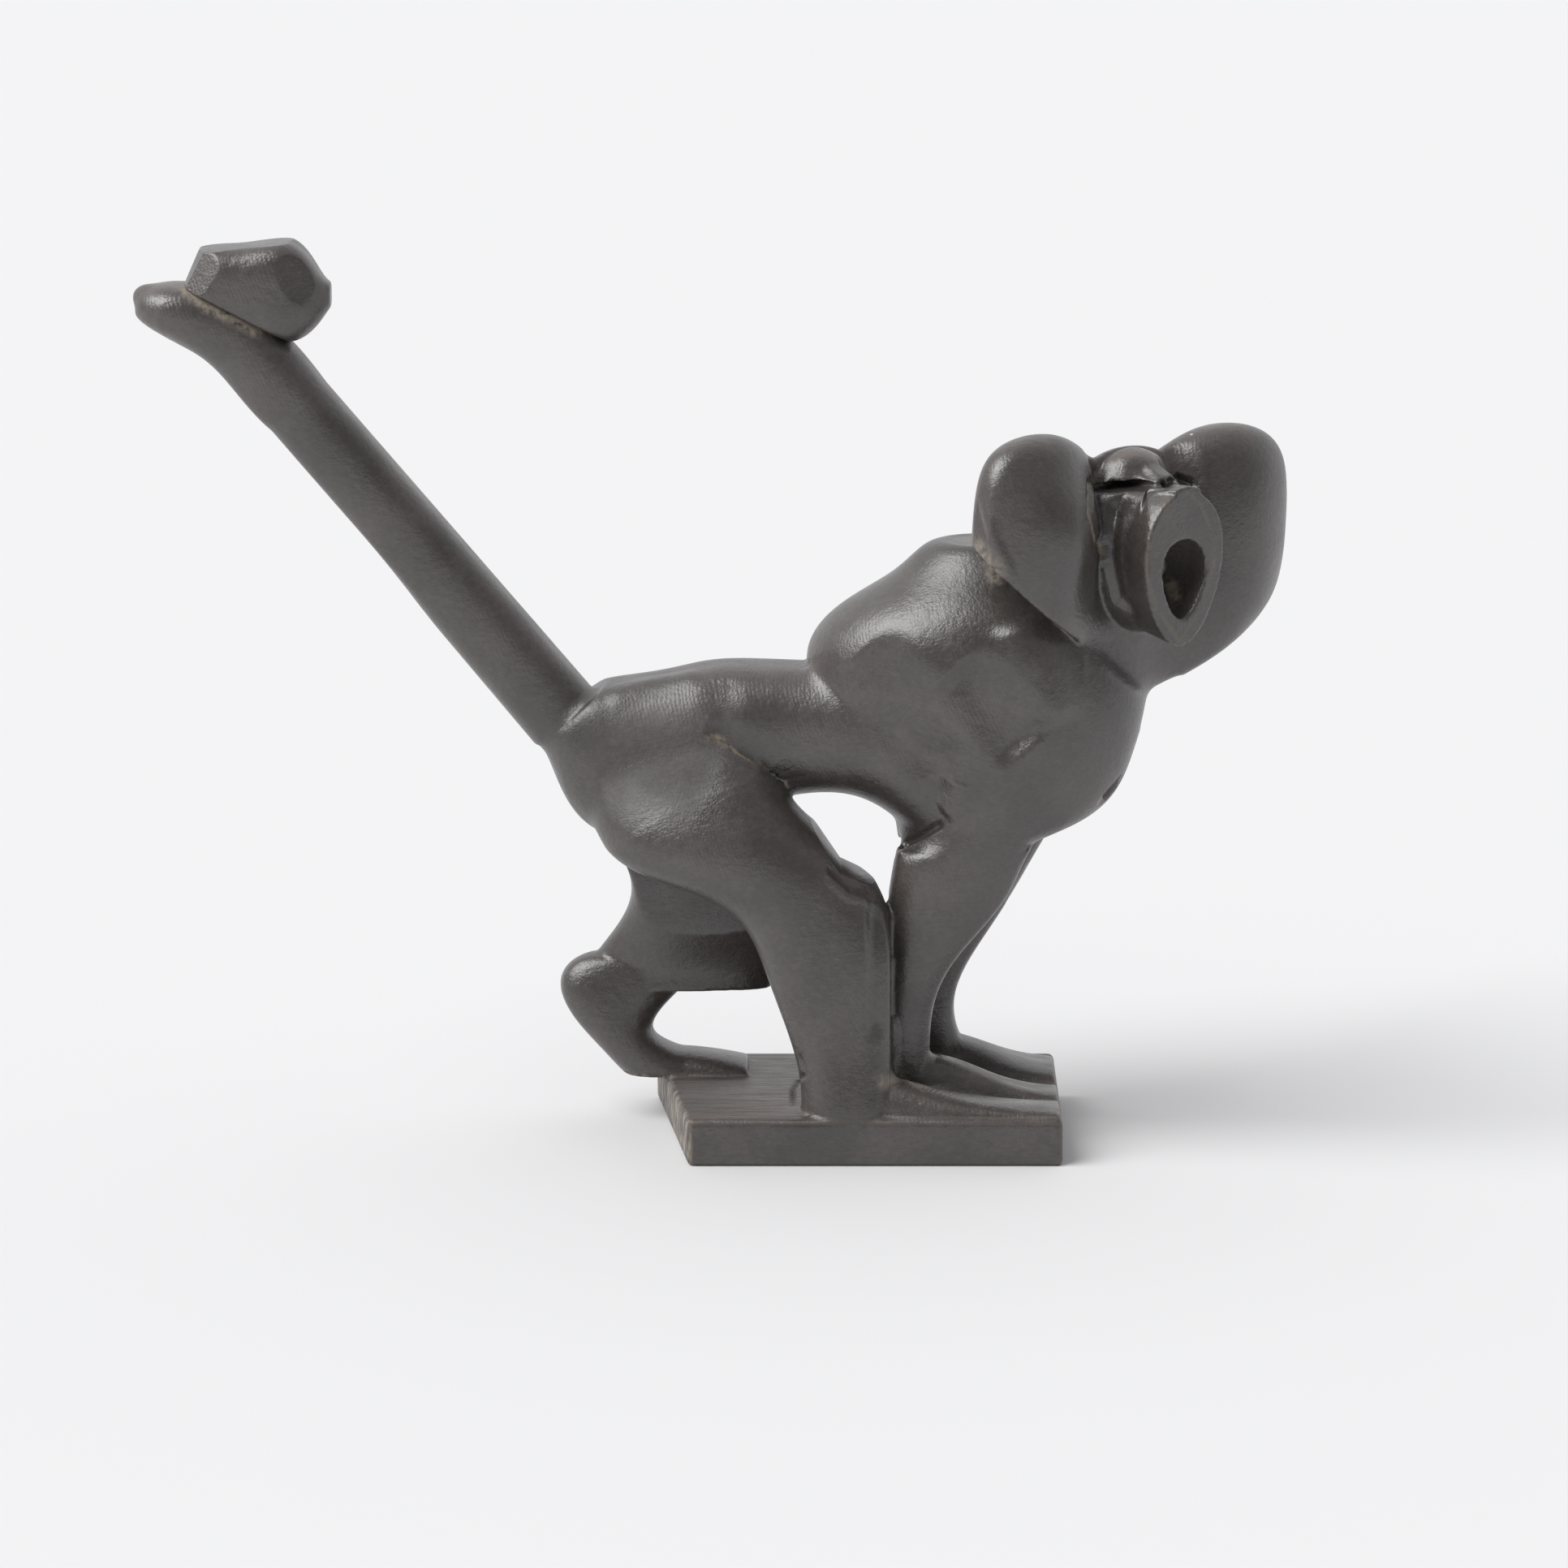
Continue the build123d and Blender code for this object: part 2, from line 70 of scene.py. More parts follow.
lens = bpy.data.cameras.new("camera")
lens.sensor_width = 36.0
lens.lens = lens.sensor_width * DISTANCE / (POINT_SIZE * PICTURE)
lens.clip_end = 50.0
camera = bpy.data.objects.new("camera", lens)
camera.location = EYE
camera.rotation_euler = (pi / 2.0 - ELEVATION, 0.0, 0.0)
scene.collection.objects.link(camera)
scene.camera = camera


def sight_line(across, down):
    """The direction from the eye through a point of the picture."""
    middle = PICTURE / 2.0
    ray = FORWARD * (DISTANCE / POINT_SIZE) + RIGHT * (across - middle) + UP * (middle - down)
    return ray.normalized()


print("lens", round(lens.lens, 1), "mm, eye", [round(v, 4) for v in EYE])

# %% [markdown]
# ## Skin
# A carving has no panels: one surface flows from the rump into the thigh, the foot and the plinth. The
# solids that flow together are copied, and a voxel remesh wraps the copies in one even, closed skin.
# Subdividing the solids themselves would keep their seams, and the even mesh is also what carving
# wants, since every spot can be moved. The solids are grown by a hair first, which closes the thin glue
# lines between them. Oval blocks fill out the brow and the tip of the tail. The tuft is wrapped by
# itself, because an open seam parts it from the tail.

# %% Wrap and smooth copies of the solids
MERGE = 1e-6
FIGURE_VOXEL = 0.42
FIGURE_ROUNDS = 4
TUFT_VOXEL = 0.30
TUFT_ROUNDS = 6
HEAD_PLACE = (Matrix.Translation(Vector((44.5, -1.5, 102.0)) * MM)
              @ Matrix.Rotation(radians(-50.0), 4, "Z")
              @ Matrix.Rotation(radians(-3.4), 4, "X"))
BROW_PLACE = HEAD_PLACE @ Matrix.Translation(Vector((-3.5, 1.5, 11.0)) * MM)
TAIL_TIP_PLACE = (Matrix.Translation(Vector((-118.4, 0.0, 143.1)) * MM)
                  @ Matrix.Rotation(radians(30.0), 4, "Y"))
OVALS = [
    (BROW_PLACE, (5.5, 12.5, 7.4)),
    (TAIL_TIP_PLACE, (9.0, 5.6, 3.9)),
]
GLUE_ROOM = 0.15
EASE = 0.5


def put(name, skin):
    """An object at the origin made from a finished bmesh, which is freed."""
    mesh = bpy.data.meshes.new(name)
    skin.to_mesh(mesh)
    skin.free()
    piece = bpy.data.objects.new(name, mesh)
    scene.collection.objects.link(piece)
    return piece


def drop(piece):
    """Remove a helper object and its mesh."""
    mesh = piece.data
    bpy.data.objects.remove(piece)
    bpy.data.meshes.remove(mesh)


def after_modifiers(piece):
    """The mesh of a helper object with its modifiers worked in, as a new bmesh."""
    shape = bmesh.new()
    shape.from_object(piece, bpy.context.evaluated_depsgraph_get())
    return shape


def shells(skin):
    """The separate closed shells of a skin, largest first, as lists of vertices."""
    unseen = set(skin.verts)
    found = []
    while unseen:
        shell = [unseen.pop()]
        for vertex in shell:
            for edge in vertex.link_edges:
                other = edge.other_vert(vertex)
                if other in unseen:
                    unseen.discard(other)
                    shell.append(other)
        found.append(shell)
    return sorted(found, key=len, reverse=True)


def sanded(skin, chosen, rounds):
    """Where every vertex of a skin would lie if the chosen ones were eased towards their neighbours."""
    skin.verts.index_update()
    numbers = [vertex.index for vertex in chosen]
    weights = skin.verts.layers.deform.verify()
    skin.verts.ensure_lookup_table()
    for number in numbers:
        skin.verts[number][weights][0] = 1.0
    mesh = bpy.data.meshes.new("sanded")
    skin.to_mesh(mesh)
    skin.verts.layers.deform.remove(weights)
    block = bpy.data.objects.new("sanded", mesh)
    scene.collection.objects.link(block)
    block.vertex_groups.new(name="chosen")
    smooth = block.modifiers.new("smooth", "SMOOTH")
    smooth.vertex_group = "chosen"
    smooth.factor = EASE
    smooth.iterations = rounds
    eased = after_modifiers(block)
    drop(block)
    places = [vertex.co.copy() for vertex in eased.verts]
    eased.free()
    return places


def sand(skin, chosen, rounds, only_fill=False):
    """Ease the chosen vertices, or only those that rise by it, which fills hollows and keeps edges."""
    skin.normal_update()
    for vertex, place in zip(skin.verts, sanded(skin, chosen, rounds)):
        if not only_fill or (place - vertex.co).dot(vertex.normal) > 0.0:
            vertex.co = place
    skin.verts.ensure_lookup_table()


def wrap(names, voxel, rounds):
    """One closed, smoothed skin round copies of the named solids."""
    shape = bmesh.new()
    for name in names:
        shape.from_mesh(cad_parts[name].data)
    for place, size in OVALS if "head" in names else []:
        oval = place @ Matrix.Diagonal(size + (1.0,))
        bmesh.ops.create_uvsphere(shape, u_segments=64, v_segments=32, radius=MM, matrix=oval)
    bmesh.ops.remove_doubles(shape, verts=shape.verts, dist=MERGE)
    shape.normal_update()
    for vertex in shape.verts:
        vertex.co += vertex.normal * (GLUE_ROOM * MM)
    block = put("block", shape)
    remesh = block.modifiers.new("remesh", "REMESH")
    remesh.mode = "VOXEL"
    remesh.voxel_size = voxel
    smooth = block.modifiers.new("smooth", "SMOOTH")
    smooth.factor = EASE
    smooth.iterations = rounds
    skin = after_modifiers(block)
    drop(block)
    for inner in shells(skin)[1:]:
        bmesh.ops.delete(skin, geom=inner, context="VERTS")
    print("wrapped", len(names), "solids in", len(skin.verts), "vertices")
    return skin


LIMBS = ["right_hind_leg", "left_hind_leg", "right_fore_leg", "left_fore_leg", "tail"]
HEAD = ["head", "right_ruff_lobe", "left_ruff_lobe", "muzzle"]
figure = wrap(["torso", "plinth"] + LIMBS + HEAD, FIGURE_VOXEL * MM, FIGURE_ROUNDS)
tuft = wrap(["tail_tuft"], TUFT_VOXEL * MM, TUFT_ROUNDS)

# %% [markdown]
# ## Face
# The face lies in a hollow between the lobes of the ruff, with narrow eye slits under the brow, and the
# muzzle stands out of it like a short barrel. The skin is one surface here, so the face is pressed back
# and the slits are squeezed by moving its vertices in the head's own directions. The front of the near
# lobe is raised into a shallow dome in the same way. The mesh of the face is divided once first, so
# that small forms stay sharp. Cutting the face again from blocks would break the flow into the lobes.

# %% Press the face back between the lobes
INTO_HEAD = HEAD_PLACE.inverted()
FACE_MIDDLE = HEAD_PLACE @ (Vector((4.0, 0.0, 2.0)) * MM)
FACE_REACH = 18.0
FACE_MARGIN = 6.0
FACE_ROUNDS = 3
BROW_SHIFT = 3.2
CHEEK_SHIFT = 1.3
MUZZLE_WIDTH = 8.5
MUZZLE_HEIGHT = 12.7
MUZZLE_POINT = 0.16
SLIT_SQUEEZE = 0.55
SLIT_HEIGHT = 14.0
SLIT_FALL = 0.24
SLIT_INNER_END = (1.2, 2.8)
SLIT_OUTER_END = (11.5, 13.5)
SLIT_BACK = (-1.0, 0.5)
SLIT_FRONT = (8.0, 9.5)
SLIT_HALF = (1.6, 4.2)
NOSE_SIDE = (2.6, 4.6)
NOSE_LOW = (7.0, 9.0)
NOSE_HIGH = (14.2, 16.5)
NOSE_FRONT = (4.0, 8.0)
BROW_START = (5.0, 10.0)
FACE_BACK = (-5.0, 2.0)
FACE_SIDE = (8.5, 13.5)
FACE_LOW = (-12.0, -3.0)
MUZZLE_EDGE = (0.0, 1.2)
CROWN_SPOT = (-21.0, 5.0)
CROWN_REACH = 13.0
CROWN_RISE = 2.0
CROWN_FRONT = (-3.0, 4.0)
RUFF_REACH = 45.0


def ramp(value, start, end):
    """0 before start, 1 after end, and a smooth rise between them."""
    share = min(1.0, max(0.0, (value - start) / (end - start)))
    return share * share * (3.0 - 2.0 * share)


def divide(skin, chosen):
    """Halve every edge between chosen vertices, so that the mesh is twice as fine there."""
    edges = [edge for edge in skin.edges if edge.verts[0] in chosen and edge.verts[1] in chosen]
    bmesh.ops.subdivide_edges(skin, edges=edges, cuts=1, use_grid_fill=True)


def outside_muzzle(y, z):
    """How far a spot of the face lies outside the muzzle's outline, in mm."""
    along = z / MUZZLE_HEIGHT
    if abs(along) >= 1.0:
        return abs(z) - MUZZLE_HEIGHT + 1.0
    return abs(y) - MUZZLE_WIDTH * sqrt(1.0 - along * along) * (1.0 + MUZZLE_POINT * along)


def press_face(skin):
    """Move brow and cheeks back along the head's own x, all but the muzzle, and squeeze the eye slits."""
    for vertex in skin.verts:
        if (vertex.co - FACE_MIDDLE).length > (FACE_REACH + FACE_MARGIN) * MM:
            continue
        x, y, z = (INTO_HEAD @ vertex.co) / MM
        side = abs(y)
        slit = z - (SLIT_HEIGHT - SLIT_FALL * side)
        beside_nose = ramp(side, *SLIT_INNER_END) * (1.0 - ramp(side, *SLIT_OUTER_END))
        beside_nose = beside_nose * ramp(x, *SLIT_BACK)
        squeeze = SLIT_SQUEEZE * (1.0 - ramp(abs(slit), *SLIT_HALF)) * (1.0 - ramp(x, *SLIT_FRONT))
        nose_height = ramp(z, *NOSE_LOW) * (1.0 - ramp(z, *NOSE_HIGH))
        nose = (1.0 - ramp(side, *NOSE_SIDE)) * nose_height * ramp(x, *NOSE_FRONT)
        back = CHEEK_SHIFT + (BROW_SHIFT - CHEEK_SHIFT) * ramp(z, *BROW_START)
        share = ramp(x, *FACE_BACK) * (1.0 - ramp(side, *FACE_SIDE)) * ramp(z, *FACE_LOW) * (1.0 - nose)
        share = share * ramp(outside_muzzle(y, z), *MUZZLE_EDGE)
        moved = Vector((x - back * share, y, z - slit * squeeze * beside_nose))
        vertex.co = HEAD_PLACE @ (moved * MM)


def crown_lobe(skin):
    """Raise the front of the near lobe into a shallow dome."""
    for vertex in skin.verts:
        if (vertex.co - FACE_MIDDLE).length > RUFF_REACH * MM:
            continue
        x, y, z = (INTO_HEAD @ vertex.co) / MM
        away = hypot(y - CROWN_SPOT[0], z - CROWN_SPOT[1])
        rise = CROWN_RISE * ramp(x, *CROWN_FRONT) * (1.0 - ramp(away, 0.0, CROWN_REACH))
        vertex.co = HEAD_PLACE @ (Vector((x + rise, y, z)) * MM)


def near(skin, middle, reach):
    """The vertices within reach, in mm, of a place."""
    return {vertex for vertex in skin.verts if (vertex.co - middle).length < reach * MM}


divide(figure, near(figure, FACE_MIDDLE, FACE_REACH))
press_face(figure)
crown_lobe(figure)
sand(figure, near(figure, FACE_MIDDLE, FACE_REACH), FACE_ROUNDS)
print("brow pressed back by", BROW_SHIFT, "mm,", len(figure.verts), "vertices now")

# %% [markdown]
# ## Neck
# Head and chest are joined by a slanted glue joint. On the near side a deep groove still shows it, and
# towards the chin the knife has blended it away. A bevel can't round such a wandering joint, so the
# strip of skin on both sides of the joint's plane is sanded until it flows. On the far side the chest
# steps in over the arm, and that corner is filled and sanded in the same way.

# %% Blend the chin into the chest and the far arm into the shoulder
NECK = Vector((34.1, 0.0, 90.3)) * MM
NECK_SLOPE = radians(43.4)
NECK_WAY = Vector((sin(NECK_SLOPE), 0.0, cos(NECK_SLOPE)))
CHIN_START = 35.5
CHIN_REACH = 5.5
CHIN_ROUNDS = 300
FAR_SHOULDER = Vector((23.0, 12.0, 53.0)) * MM
FAR_SIDE = 3.0
SHOULDER_FILL = (17.0, 250)
SHOULDER_SAND = (15.0, 80)


def behind(skin, middle, reach):
    """The vertices near a place that lie on the far side of the figure."""
    return [vertex for vertex in near(skin, middle, reach) if vertex.co.y > FAR_SIDE * MM]


chin = [vertex for vertex in figure.verts
        if vertex.co.x > CHIN_START * MM and abs((vertex.co - NECK).dot(NECK_WAY)) < CHIN_REACH * MM]
sanded_count = len(chin)
sand(figure, chin, CHIN_ROUNDS)
sand(figure, behind(figure, FAR_SHOULDER, SHOULDER_FILL[0]), SHOULDER_FILL[1], only_fill=True)
sand(figure, behind(figure, FAR_SHOULDER, SHOULDER_SAND[0]), SHOULDER_SAND[1])
print("sanded", sanded_count, "vertices under the chin")

# %% [markdown]
# ## Tail
# The underside of the tail is one long, slightly flattened run from the rump to the bend. The knife
# takes off whatever stands lower than the run, and so does this: the further a vertex lies below it,
# the more it is drawn back. Sanding alone would make the whole tail thinner before its bumps were gone.

# %% Pare the underside of the tail
TAIL_JOINT = Vector((-53.35, 0.0, 73.6)) * MM
TAIL_WAY = Vector((-0.657, 0.0, 0.754))
TAIL_UNDER = Vector((-0.754, 0.0, -0.657))
TAIL_TIP = Vector((-123.0, 0.0, 146.0)) * MM
RUN_START = 4.0
RUN_ROOM = 0.75
RUN_DEEPEST = 10.0
RUN_RISE = (25.0, 50.0)
RUN_FALL = (80.0, 92.0)
TIP_REACH = 7.0
TIP_ROUNDS = 40

for vertex in figure.verts:
    along = (vertex.co - TAIL_JOINT).dot(TAIL_WAY) / MM
    under = (vertex.co - TAIL_JOINT).dot(TAIL_UNDER) / MM
    share = ramp(along, *RUN_RISE) * (1.0 - ramp(along, *RUN_FALL))
    if share > 0.0 and RUN_START < under < RUN_DEEPEST:
        pared = RUN_START + RUN_ROOM * (1.0 - exp((RUN_START - under) / RUN_ROOM))
        vertex.co += TAIL_UNDER * ((pared - under) * share * MM)
sand(figure, near(figure, TAIL_TIP, TIP_REACH), TIP_ROUNDS)
print("pared the tail's underside to", RUN_START + RUN_ROOM, "mm below its middle")

# %% [markdown]
# ## Carving
# The knife left creases, ledges and worn ridges where the limbs turn. They could be painted as bumps,
# but a bump never breaks the outline or casts a shadow, so here they are cut. Each mark is a short line
# on the picture, thrown onto the skin along the line of sight, and every vertex near it moves along the
# surface's own direction: down for a groove, down on the right hand of the line's travel for a ledge,
# up for a ridge. Easing sands a strip smooth. Dust, wear and dull marks only note on the skin where dust
# lies, where hands have rubbed the stain away, and where the wax is thin. Along the rim of the muzzle
# the wear note is a painted highlight.

# %% Throw marks onto a skin and cut them
STEP = 0.3 * MM
FINE = 2.5
FINE_MARGIN = 0.6
LEDGE_EDGE = (-0.08, 0.14)
END_FADE = (-0.02, 0.16)


def thrown(tree, points):
    """Places, outward directions and headings on the surface along a line of picture points."""
    path = []
    for (x0, y0), (x1, y1) in zip(points, points[1:]):
        length = ((x1 - x0) ** 2 + (y1 - y0) ** 2) ** 0.5
        count = max(1, round(length * POINT_SIZE / STEP))
        heading = (RIGHT * (x1 - x0) - UP * (y1 - y0)).normalized()
        for step in range(count):
            share = step / count
            ray = sight_line(x0 + (x1 - x0) * share, y0 + (y1 - y0) * share)
            place, outward, _, _ = tree.ray_cast(EYE, ray)
            if place:
                path.append((place, outward, heading))
    return path


def spots_of(skin):
    """A quick way to find the vertices of a skin near a place."""
    spots = kdtree.KDTree(len(skin.verts))
    skin.verts.ensure_lookup_table()
    skin.verts.index_update()
    for vertex in skin.verts:
        spots.insert(vertex.co, vertex.index)
    spots.balance()
    return spots


def strip(skin, spots, path, width):
    """The vertices within width of a path, each with its distance and the nearest step of the path."""
    nearest = {}
    for step, (place, outward, _) in enumerate(path):
        for _, index, distance in spots.find_range(place, width):
            if distance < nearest.get(index, (width, 0))[0] and skin.verts[index].normal.dot(outward) > 0.0:
                nearest[index] = (distance, step)
    return nearest


def across(kind, offset, width):
    """How much of a mark's depth is cut at an offset from its line, which is above 0 on its right hand."""
    fade = (1.0 - min(1.0, abs(offset) / width) ** 2) ** 2
    if kind == "ledge":
        return ramp(offset, LEDGE_EDGE[0] * width, LEDGE_EDGE[1] * width) * fade
    return fade


def carve(skin, marks):
    """Cut marks into a skin: kind, picture points, width in mm, and depth, rounds or strength."""
    skin.normal_update()
    tree = BVHTree.FromBMesh(skin)
    paths = [thrown(tree, points) for _, points, _, _ in marks]
    spots = spots_of(skin)
    slim = set()
    for (kind, _, width, _), path in zip(marks, paths):
        if width < FINE and kind in ("groove", "ridge", "ledge"):
            slim.update(skin.verts[index] for index in strip(skin, spots, path, (width + FINE_MARGIN) * MM))
    divide(skin, slim)
    skin.normal_update()
    spots = spots_of(skin)
    layers = {kind: skin.verts.layers.float.new(kind) for kind in ("dust", "worn_and_highlight", "dull")}
    for (kind, _, width, depth), path in zip(marks, paths):
        nearest = strip(skin, spots, path, width * MM)
        if kind in ("ease", "fill"):
            sand(skin, [skin.verts[index] for index in nearest], depth, kind == "fill")
            continue
        for index, (distance, step) in nearest.items():
            place, outward, heading = path[step]
            vertex = skin.verts[index]
            offset = copysign(distance / MM, (vertex.co - place).dot(FORWARD.cross(heading)))
            share = (step + 0.5) / len(path)
            amount = depth * across(kind, offset, width) * ramp(min(share, 1.0 - share), *END_FADE)
            if kind in layers:
                vertex[layers[kind]] = max(vertex[layers[kind]], amount)
            else:
                vertex.co += outward * ((amount if kind == "ridge" else -amount) * MM)
    print("carved", len(marks), "marks into", len(skin.verts), "vertices")


print("marks are thrown in steps of", round(STEP / MM, 2), "mm")

# %% [markdown]
# ## Marks of the knife
# The lines follow the carving itself: the sanded flow from thigh to waist, from waist to shoulder and
# from leg to foot, the hollows of the shoulder, the plate of the hip, the knee, the elbow, the notch in
# the chest, the groove between leg and arm, the split heel and the rim of the face. Four short lists
# keep them easy to compare with the picture. The whole skin is eased once at the end, and what lies
# below the floor, because the solids were grown, is set back on it.

# %% Carve the figure
FLOW_MARKS = [
    ("ease", [(745, 985), (790, 950), (830, 930), (880, 915)], 9.0, 140),
    ("ease", [(1010, 860), (1060, 900), (1100, 960)], 8.0, 120),
    ("ease", [(1110, 1015), (1160, 1035), (1220, 1040), (1275, 1020)], 6.0, 100),
    ("fill", [(1094, 1240), (1096, 1290), (1112, 1322), (1150, 1342)], 6.0, 200),
    ("fill", [(738, 862), (715, 890), (697, 920), (690, 950)], 8.0, 250),
    ("groove", [(1060, 800), (1100, 850), (1140, 900), (1165, 960)], 9.0, 1.6),
    ("groove", [(1170, 825), (1225, 880), (1270, 930)], 8.0, 1.8),
    ("ridge", [(1250, 760), (1282, 830), (1298, 900)], 7.0, 1.5),
]
CUT_MARKS = [
    ("groove", [(893, 835), (890, 860), (884, 890)], 4.5, 0.3),
    ("ridge", [(745, 862), (800, 842), (868, 830)], 4.0, 0.4),
    ("ledge", [(972, 974), (946, 947), (905, 926), (862, 903)], 5.5, 1.5),
    ("groove", [(1022, 1064), (1050, 1090), (1082, 1101)], 2.4, 0.7),
    ("ridge", [(1015, 1078), (1046, 1104), (1075, 1110)], 1.6, 0.35),
    ("groove", [(1162, 1014), (1128, 1033), (1106, 1047)], 1.1, 0.9),
    ("ridge", [(1160, 1000), (1180, 985), (1186, 960)], 4.0, 0.6),
    ("groove", [(1360, 985), (1371, 973), (1382, 960)], 2.0, 1.5),
    ("groove", [(1078, 1108), (1081, 1197), (1080, 1290)], 2.6, 0.9),
    ("groove", [(985, 1298), (991, 1323), (977, 1342), (976, 1366)], 0.9, 0.5),
]
FACE_MARKS = [
    ("ease", [(1352, 585), (1345, 640), (1350, 700), (1365, 760)], 4.5, 60),
    ("groove", [(1356, 577), (1344, 600), (1344, 632), (1352, 665), (1362, 692)], 2.0, 0.7),
    ("groove", [(1395, 612), (1376, 627), (1371, 650), (1370, 690), (1380, 737), (1408, 757)], 1.8, 0.4),
    ("groove", [(1430, 598), (1450, 590), (1472, 598)], 1.2, 1.4),
    ("ridge", [(1208, 607), (1223, 663), (1257, 730)], 1.6, 0.3),
]
WEAR_AND_HIGHLIGHT_MARKS = [
    ("dust", [(868, 904), (905, 924), (942, 943)], 0.8, 0.8),
    ("dust", [(1197, 668), (1215, 690), (1240, 722)], 3.0, 0.7),
    ("dust", [(1356, 577), (1344, 600), (1344, 632), (1352, 665), (1362, 692)], 1.2, 1.0),
    ("dust", [(1440, 716), (1447, 730), (1450, 745)], 1.6, 1.2),
    ("dust", [(226, 350), (260, 371), (294, 388), (331, 407)], 3.6, 2.4),
    ("dust", [(1075, 1335), (1110, 1328), (1150, 1345)], 2.2, 0.7),
    ("dust", [(1170, 1300), (1220, 1325), (1290, 1345)], 1.6, 0.7),
    ("worn_and_highlight", [(1362, 574), (1385, 562), (1412, 558), (1445, 572)], 2.6, 0.9),
    ("worn_and_highlight", [(1225, 560), (1262, 545), (1300, 545)], 3.0, 0.5),
    ("worn_and_highlight", [(1480, 528), (1520, 524), (1560, 560)], 3.0, 0.5),
    ("worn_and_highlight", [(180, 365), (200, 350), (230, 345)], 2.5, 0.6),
    ("dull", [(730, 960), (780, 940), (830, 935), (890, 960)], 14.0, 1.0),
    # Painted highlight: these two wear marks lighten the rim of the muzzle with the rubbed brown, where the
    # rounded rim would catch the light.
    ("worn_and_highlight", [(1422, 640), (1440, 606), (1457, 600), (1480, 622), (1496, 663), (1495, 697), (1480, 750)],
     0.7, 0.9),
    ("worn_and_highlight", [(1480, 750), (1453, 790), (1425, 750), (1411, 697), (1422, 640)], 0.7, 0.9),
]
carve(figure, FLOW_MARKS + CUT_MARKS + FACE_MARKS + WEAR_AND_HIGHLIGHT_MARKS)
sand(figure, figure.verts, 1)
for vertex in figure.verts:
    vertex.co.z = max(vertex.co.z, 0.0)

# %% [markdown]
# ## Tuft
# The tuft on the tail's end is a small faceted block: a flat top, a slanted rear end and broad flats on
# the sides. A knife pares each flat in one stroke, and so does this: every vertex that stands beyond a
# plane is moved back onto it.

# %% Pare the tuft
TUFT_FLATS = [
    ((-0.10, 0.0, 0.99), 1.0),
    ((-0.50, -0.82, 0.28), 1.5),
    ((0.42, -0.89, 0.16), 0.7),
    ((-0.86, -0.20, 0.46), 0.8),
    ((-0.50, 0.84, 0.20), 1.4),
    ((0.48, 0.86, 0.16), 1.4),
]
FLATS_ROUNDS = 4


def pare(skin, way, depth):
    """Cut a flat square to a direction, so many mm below the vertex that reaches furthest that way."""
    outward = Vector(way).normalized()
    limit = max(vertex.co.dot(outward) for vertex in skin.verts) - depth * MM
    for vertex in skin.verts:
        vertex.co -= outward * max(0.0, vertex.co.dot(outward) - limit)


for way, depth in TUFT_FLATS:
    pare(tuft, way, depth)
sand(tuft, tuft.verts, FLATS_ROUNDS)
print("pared", len(TUFT_FLATS), "flats on the tuft")

# %% [markdown]
# ## Relief
# Wax and hands leave raised edges brown and bright, and dust settles in the creases. The finish needs
# to know which is which, so each vertex is compared with where it would lie if the skin were sanded
# much smoother. What stands proud of that is an edge, and what lies below it is a crease.

# %% Measure edges and creases
RELIEF_ROUNDS = 24


def mark_relief(skin):
    """Store how far each vertex stands out from a much smoother skin, in mm, as the attribute relief."""
    eased = sanded(skin, skin.verts, RELIEF_ROUNDS)
    layer = skin.verts.layers.float.new("relief")
    skin.normal_update()
    for vertex, place in zip(skin.verts, eased):
        vertex[layer] = (vertex.co - place).dot(vertex.normal) / MM
    values = sorted(vertex[layer] for vertex in skin.verts)
    print("relief from", round(values[0], 2), "to", round(values[-1], 2), "mm")


for skin in (figure, tuft):
    mark_relief(skin)

# %% [markdown]
# ## Pieces
# The carving is glued up from blanks, so the skin is cut where the blanks meet. A plane cut is quick
# where a joint runs right across: at the neck, the tail, the shoulders, the lobes and just above the
# plinth, whose cut leaves thin pads under the feet. The hips are let into the rump, so there a cutter
# of a few corners takes the leg out of the body with a Boolean, and what is left over is the torso. The
# muzzle leaves the head in the same way.

# %% Cut the skin into the blanks
PLINTH_CUT = Vector((0.0, 0.0, 8.7)) * MM
RIGHT_LEG_DEPTH = (-60, -3)
LEFT_LEG_DEPTH = (3, 60)
RIGHT_LEG_SIDE = [(-70, 4), (2.5, 4), (2.5, 46), (-6, 50), (-12, 59), (-17, 65.5), (-31, 72), (-50, 64),
                  (-70, 50)]
LEFT_LEG_SIDE = [(-70, 4), (-8, 4), (-8, 50), (-12, 58), (-20, 63), (-32, 70), (-50, 64), (-70, 50)]
SHOULDER = Vector((0.0, 0.0, 52.5)) * MM
LEVEL = Vector((0.0, 0.0, 1.0))
ACROSS = Vector((0.0, 1.0, 0.0))
LOBE_JOINT = 11.4
MUZZLE_START = 4.4
MUZZLE_ROOM = (9.6, 14.4)
MUZZLE_DEPTH = 10.0


def side_of(skin, point, normal):
    """The closed part of a skin on the side of a plane that its normal points away from."""
    part = skin.copy()
    everything = part.verts[:] + part.edges[:] + part.faces[:]
    bmesh.ops.bisect_plane(part, geom=everything, dist=MERGE, plane_co=point, plane_no=normal,
                           clear_outer=True)
    rim = [edge for edge in part.edges if edge.is_boundary]
    bmesh.ops.holes_fill(part, edges=rim, sides=0)
    return part


def halves(skin, point, normal):
    """Both closed parts of a skin that a plane cuts, the one that its normal points to first."""
    front = side_of(skin, point, -normal)
    back = side_of(skin, point, normal)
    skin.free()
    return front, back


